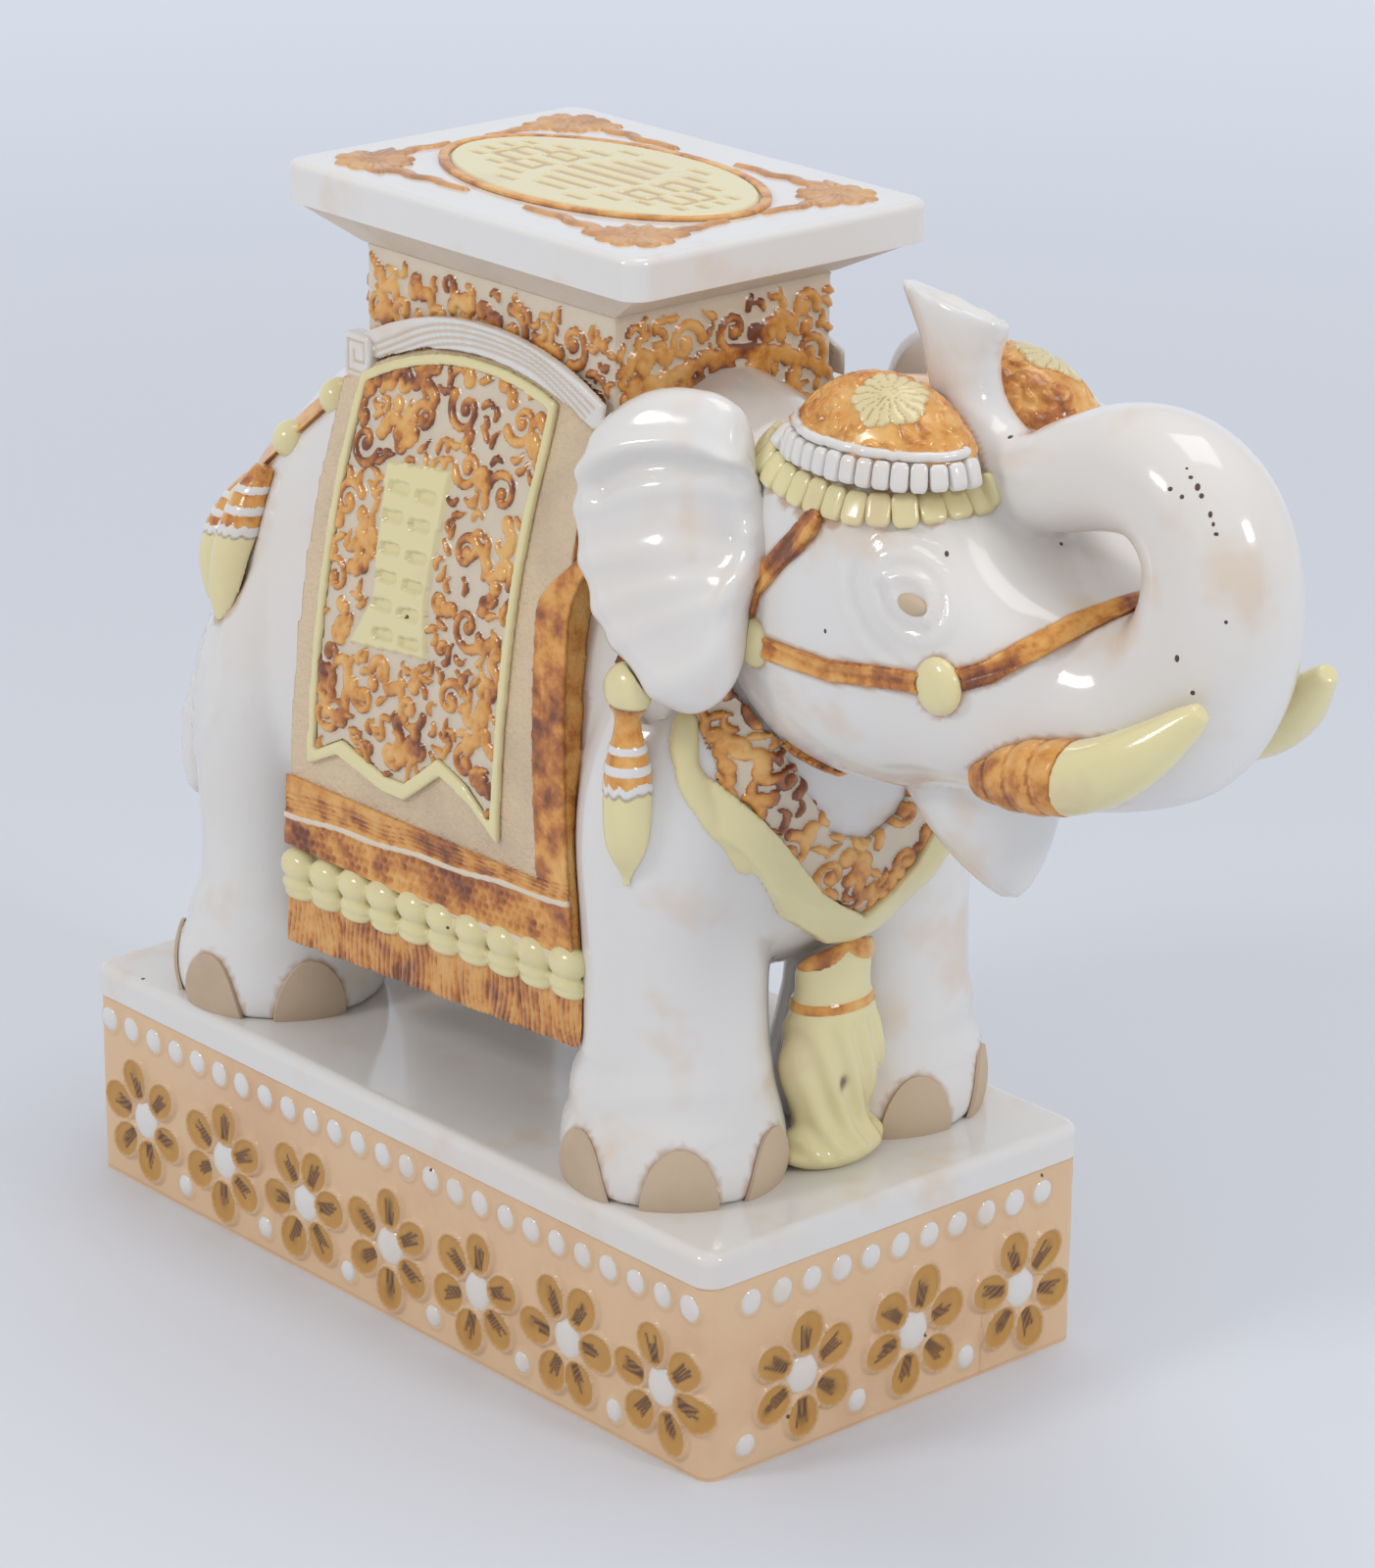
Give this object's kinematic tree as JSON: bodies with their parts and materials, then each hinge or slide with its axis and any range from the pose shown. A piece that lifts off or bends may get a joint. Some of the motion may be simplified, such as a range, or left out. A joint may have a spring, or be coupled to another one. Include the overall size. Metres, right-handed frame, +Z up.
{
  "type": "elephant garden stool",
  "caption": "Glazed ceramic garden stool: a dressed elephant with curled trunk stands on a hollow flowered plinth and carries a flat seat on its back.",
  "frame": {"origin": "centre of the rectangle that the foot rim of the plinth covers, on the floor", "axes": "+X from the tail to the trunk, +Y to the animal's left flank, +Z up to the seat"},
  "size_m": [0.562, 0.1968, 0.4489],
  "materials": {
    "white_glaze": "glossy white glaze, slightly pink where thin",
    "amber_glaze": "glossy runny amber to dark brown glaze",
    "yellow_glaze": "glossy pale yellow glaze",
    "buff_bisque": "matte stained buff clay, not glazed",
    "bare_clay": "matte bare fired clay",
    "cloth_field": "thin satin beige wash with fine stippling"
  },
  "bodies": {
    "root": {"arch_moulding_left": "white_glaze", "arch_moulding_right": "white_glaze", "bead_row": "white_glaze", "body_shell": "white_glaze", "bridle_bosses": "yellow_glaze", "bridle_straps": "amber_glaze", "brow_cloth_left": "amber_glaze", "brow_cloth_right": "amber_glaze", "brow_pearls": "white_glaze", "brow_scallops": "yellow_glaze", "chest_collar": "amber_glaze", "chest_tassel": "yellow_glaze", "cloth_border_left": "amber_glaze", "cloth_border_right": "amber_glaze", "cloth_frame_left": "yellow_glaze", "cloth_frame_right": "yellow_glaze", "collar_border": "yellow_glaze", "corner_sprays": "amber_glaze", "ear_drop_left": "yellow_glaze", "ear_drop_right": "yellow_glaze", "ear_left": "white_glaze", "ear_right": "white_glaze", "eyes": "bare_clay", "flower_centres": "white_glaze", "fringe_left": "amber_glaze", "fringe_right": "amber_glaze", "head_shell": "white_glaze", "leg_front_left": "white_glaze", "leg_front_right": "white_glaze", "leg_hind_left": "white_glaze", "leg_hind_right": "white_glaze", "lower_lip": "white_glaze", "medallion_fret": "yellow_glaze", "medallion_ring": "amber_glaze", "petals_ends": "amber_glaze", "petals_sides": "amber_glaze", "plinth_slab": "white_glaze", "plinth_studs": "white_glaze", "plinth_wall": "buff_bisque", "rump_balls": "yellow_glaze", "rump_strap": "amber_glaze", "rump_tassels": "yellow_glaze", "saddle_cloth_left": "cloth_field", "saddle_cloth_right": "cloth_field", "scroll_panel_left": "amber_glaze", "scroll_panel_right": "amber_glaze", "seat_corbel": "buff_bisque", "seat_pillar": "amber_glaze", "seat_slab": "white_glaze", "tail": "white_glaze", "tassel_heads": "yellow_glaze", "toenails_front": "bare_clay", "toenails_hind": "bare_clay", "trunk": "white_glaze", "tusk_cuff_left": "amber_glaze", "tusk_cuff_right": "amber_glaze", "tusk_left": "yellow_glaze", "tusk_right": "yellow_glaze"}
  },
  "joints": []
}
